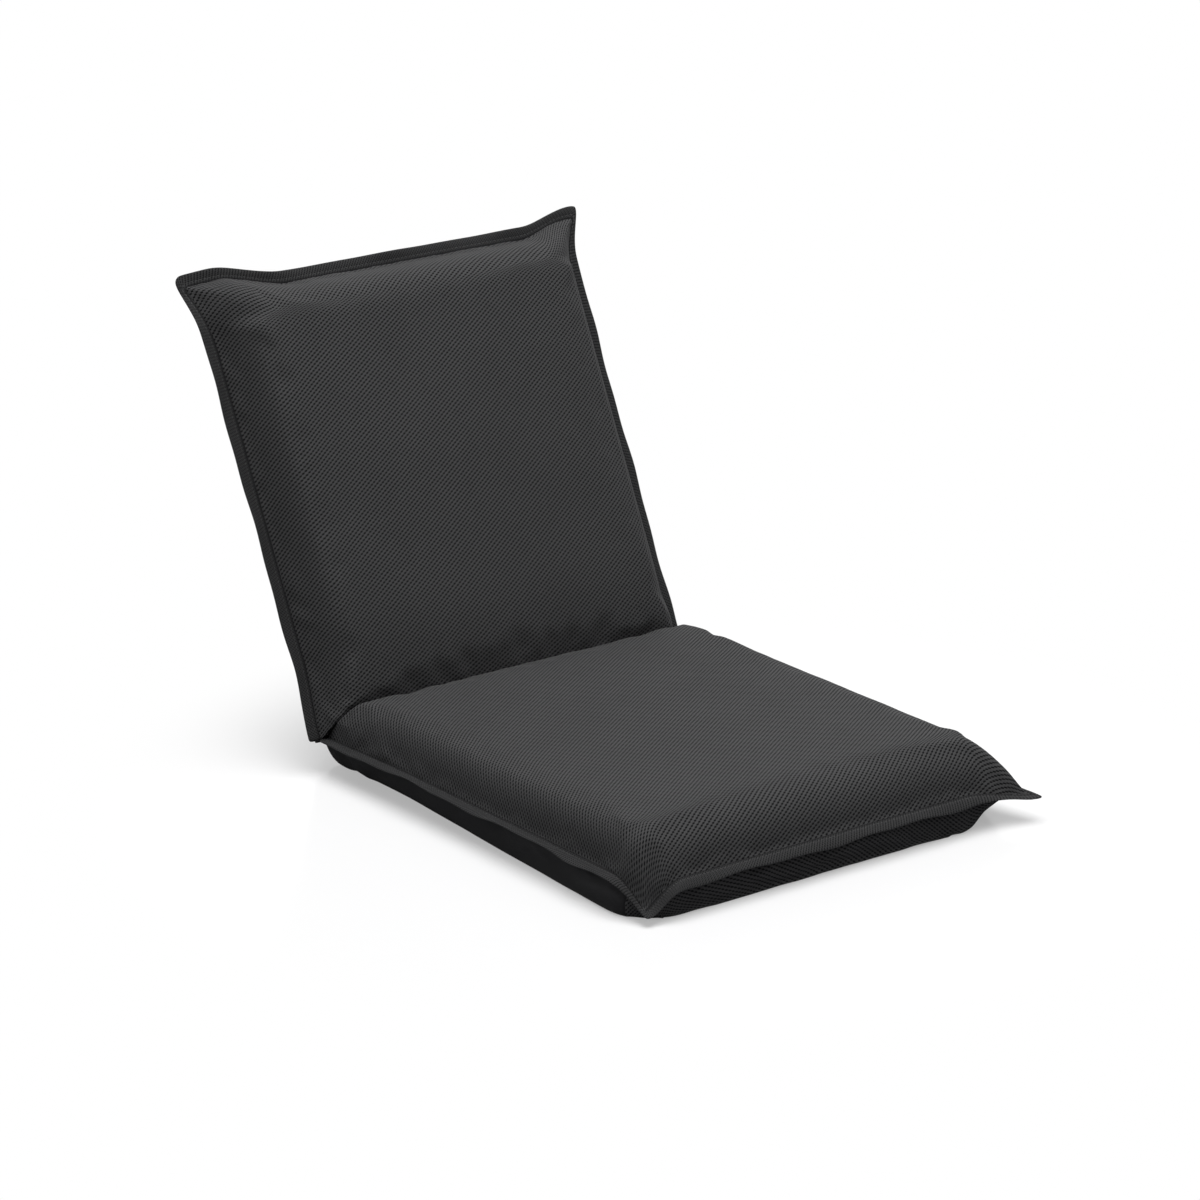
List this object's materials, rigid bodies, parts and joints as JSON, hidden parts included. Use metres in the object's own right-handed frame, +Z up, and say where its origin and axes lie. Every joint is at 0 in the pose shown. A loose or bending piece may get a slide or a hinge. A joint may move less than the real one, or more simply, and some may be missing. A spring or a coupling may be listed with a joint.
{
  "type": "folding floor chair",
  "caption": "Legless upholstered floor chair: flat seat cushion and reclining back cushion on two tube frames joined by ratchet hinges.",
  "frame": {"origin": "on the floor under the middle of the seat, midway between the front edge of the hem and the hinge axis", "axes": "+X to the right of someone who looks at the chair's front, +Y from the front towards the back, +Z up"},
  "size_m": [0.43, 0.6734, 0.4067],
  "materials": {
    "mesh_cloth": "matt charcoal spacer mesh with a fine diagonal cell",
    "hem_cloth": "matt charcoal mesh, doubled and stitched",
    "plain_cloth": "matt black plain weave",
    "foam": "open-cell polyurethane foam",
    "felt": "needled grey felt",
    "frame_paint": "black powder coat",
    "hinge_steel": "black coated stamped steel",
    "rivet_steel": "zinc plated",
    "spring_steel": "blued spring steel",
    "zip_tape": "matt black woven tape",
    "zip_nylon": "black nylon coil",
    "zip_metal": "black lacquered zinc"
  },
  "bodies": {
    "seat": {"fold_cover": "plain_cloth", "left_claw_spring": "spring_steel", "left_hinge_inner_plate": "hinge_steel", "left_hinge_outer_plate": "hinge_steel", "pivot_rivets": "rivet_steel", "right_claw_spring": "spring_steel", "right_hinge_inner_plate": "hinge_steel", "right_hinge_outer_plate": "hinge_steel", "seat_arm_rivets": "rivet_steel", "seat_cover_top": "mesh_cloth", "seat_cover_underside": "plain_cloth", "seat_cross_tube_front": "frame_paint", "seat_cross_tube_rear": "frame_paint", "seat_felt": "felt", "seat_foam": "foam", "seat_frame_tube": "frame_paint", "seat_hem": "hem_cloth", "seat_underfoam": "foam", "spring_pins": "rivet_steel"},
    "back": {"back_arm_rivets": "rivet_steel", "back_cover_front": "mesh_cloth", "back_cover_rear": "plain_cloth", "back_cross_tube_lower": "frame_paint", "back_cross_tube_upper": "frame_paint", "back_felt": "felt", "back_foam": "foam", "back_frame_tube": "frame_paint", "back_hem": "hem_cloth", "back_rear_foam": "foam", "left_ratchet_gear": "hinge_steel", "right_ratchet_gear": "hinge_steel", "zip_tape": "zip_tape", "zip_chain": "zip_nylon", "zip_end_stops": "zip_metal"},
    "zip_slider": {"zip_slider": "zip_metal"},
    "zip_pull": {"zip_pull": "zip_metal"}
  },
  "joints": [
    {"name": "back_recline", "type": "hinge", "parent": "seat", "child": "back", "pos_m": [0, 0.234, 0.03], "axis": [1, 0, 0], "range_deg": [-63, 77], "deforming": ["seat_cover_top", "back_cover_front", "seat_foam", "back_foam", "fold_cover", "left_claw_spring", "right_claw_spring"]},
    {"name": "zip_travel", "type": "slide", "parent": "back", "child": "zip_slider", "axis": [-1, 0, 0], "range_m": [0, 0.2784]},
    {"name": "zip_pull_swing", "type": "hinge", "parent": "zip_slider", "child": "zip_pull", "pos_m": [0.1392, 0.29865, 0.08684], "axis": [0, -0.454, -0.891], "range_deg": [0, 180]}
  ]
}
